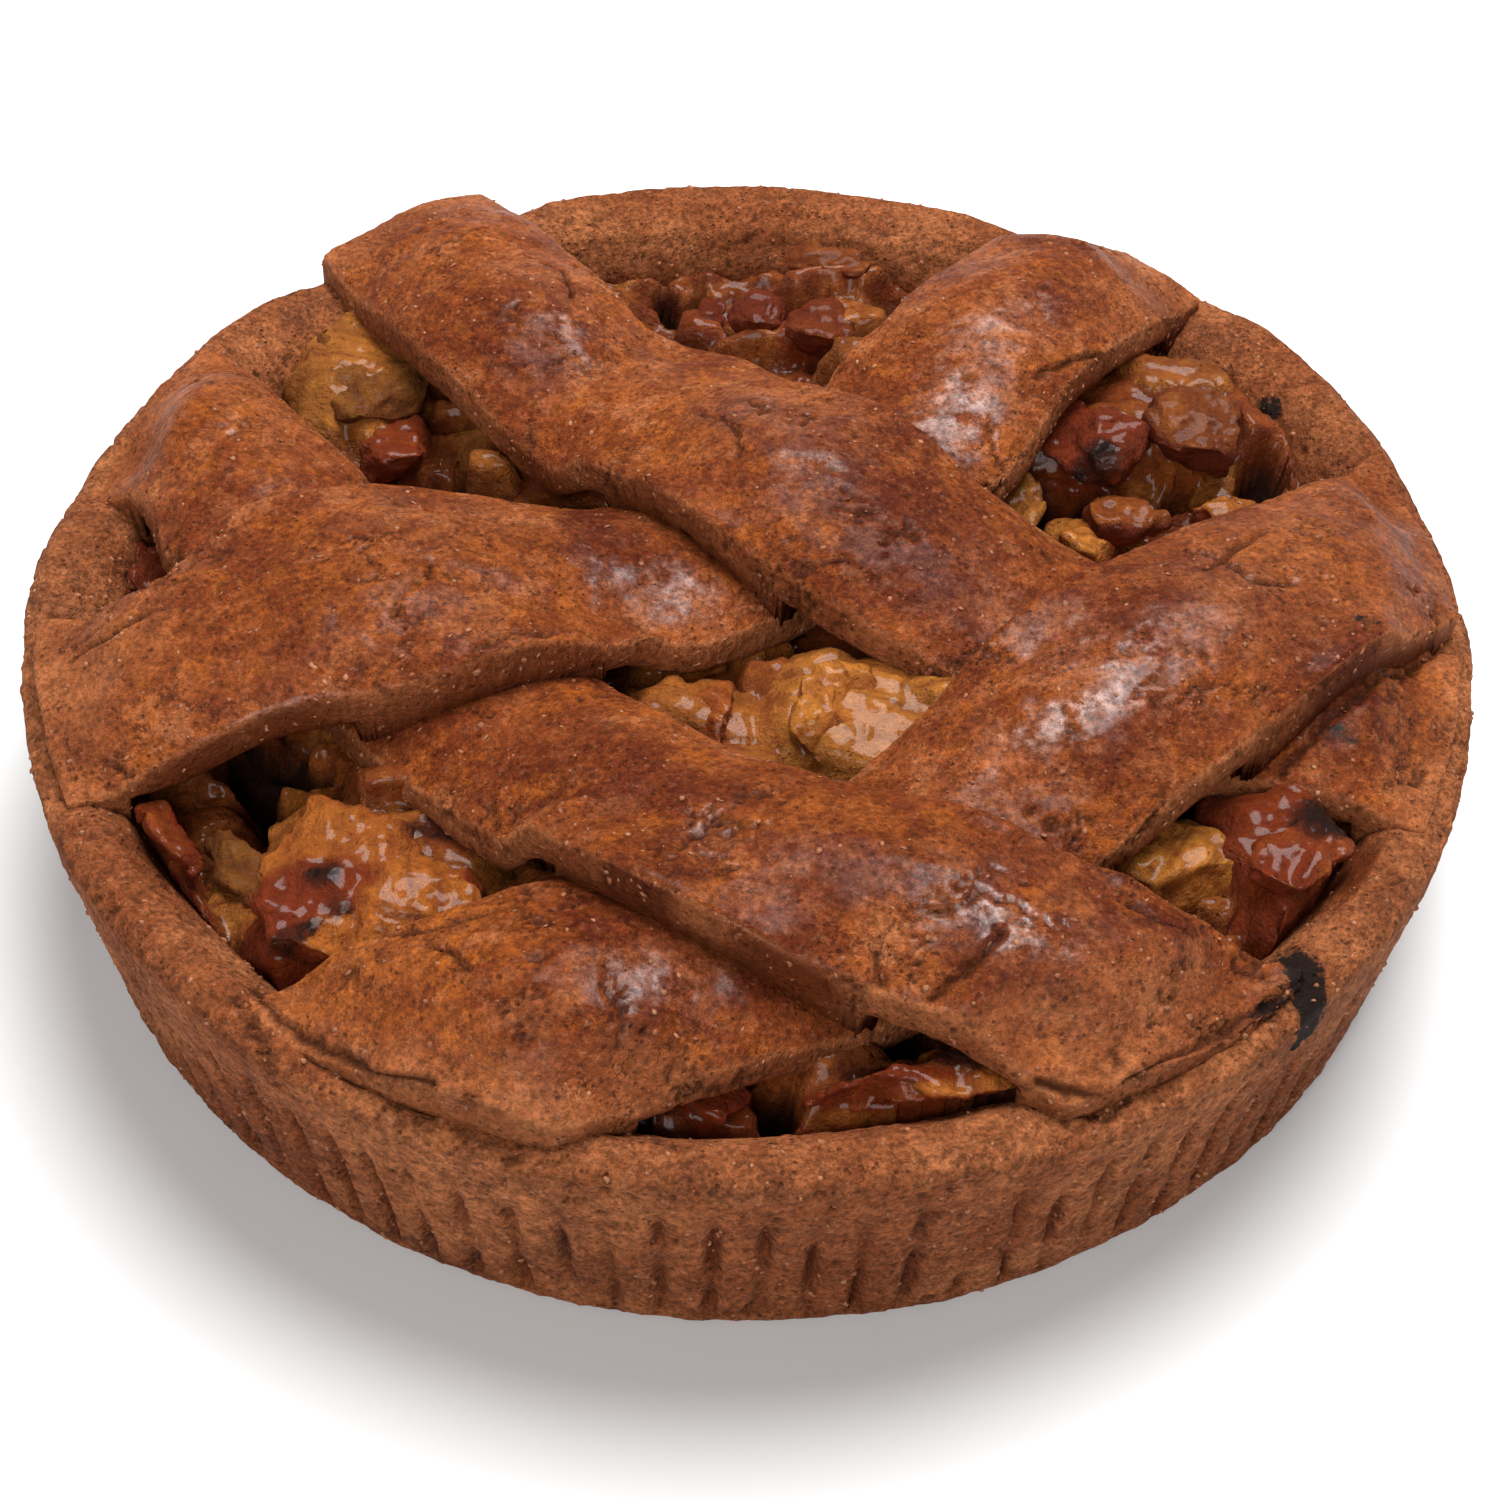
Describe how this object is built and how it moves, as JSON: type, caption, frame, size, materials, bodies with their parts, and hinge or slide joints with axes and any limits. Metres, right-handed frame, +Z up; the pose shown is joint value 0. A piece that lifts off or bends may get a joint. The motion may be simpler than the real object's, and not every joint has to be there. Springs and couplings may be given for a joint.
{
  "type": "apple pie",
  "caption": "Round deep apple pie with a fluted shortcrust shell, a woven lattice of broad glazed strips and baked apple showing in the gaps.",
  "frame": {"origin": "middle of the flat base the pie rests on", "axes": "+Z up, through the middle of the pie; -Y towards the side shown nearest in the picture; +X to that side's right"},
  "size_m": [0.2009, 0.2018, 0.0523],
  "materials": {
    "crust_dough": "dry, crumbly baked shortcrust",
    "glazed_dough": "baked dough with a thin egg glaze, satin to glossy",
    "stewed_apple": "wet, syrupy",
    "apple_flesh": "moist baked apple, caramelised in places"
  },
  "bodies": {
    "root": {"crust": "crust_dough", "strip_north": "glazed_dough", "strip_south": "glazed_dough", "strip_west": "glazed_dough", "strip_east": "glazed_dough", "filling": "stewed_apple", "apple_nw_pale": "apple_flesh", "apple_nw_red": "apple_flesh", "apple_w_brown": "apple_flesh", "apple_sw_large": "apple_flesh", "apple_sw_green": "apple_flesh", "apple_sw_skin": "apple_flesh", "apple_sw_small": "apple_flesh", "apple_n_red": "apple_flesh", "apple_n_lump": "apple_flesh", "apple_n_brown": "apple_flesh", "apple_n_skin": "apple_flesh", "apple_ne_red": "apple_flesh", "apple_ne_pale": "apple_flesh", "apple_ne_yellow": "apple_flesh", "apple_ne_slice": "apple_flesh", "apple_ne_low": "apple_flesh", "apple_ne_side": "apple_flesh", "apple_mid_orange": "apple_flesh", "apple_mid_brown": "apple_flesh", "apple_mid_green": "apple_flesh", "apple_mid_back": "apple_flesh", "apple_se_pale": "apple_flesh", "apple_se_burnt": "apple_flesh", "apple_s_ridge": "apple_flesh", "apple_s_char": "apple_flesh", "apple_s_red": "apple_flesh", "apple_s_green": "apple_flesh"}
  },
  "joints": []
}
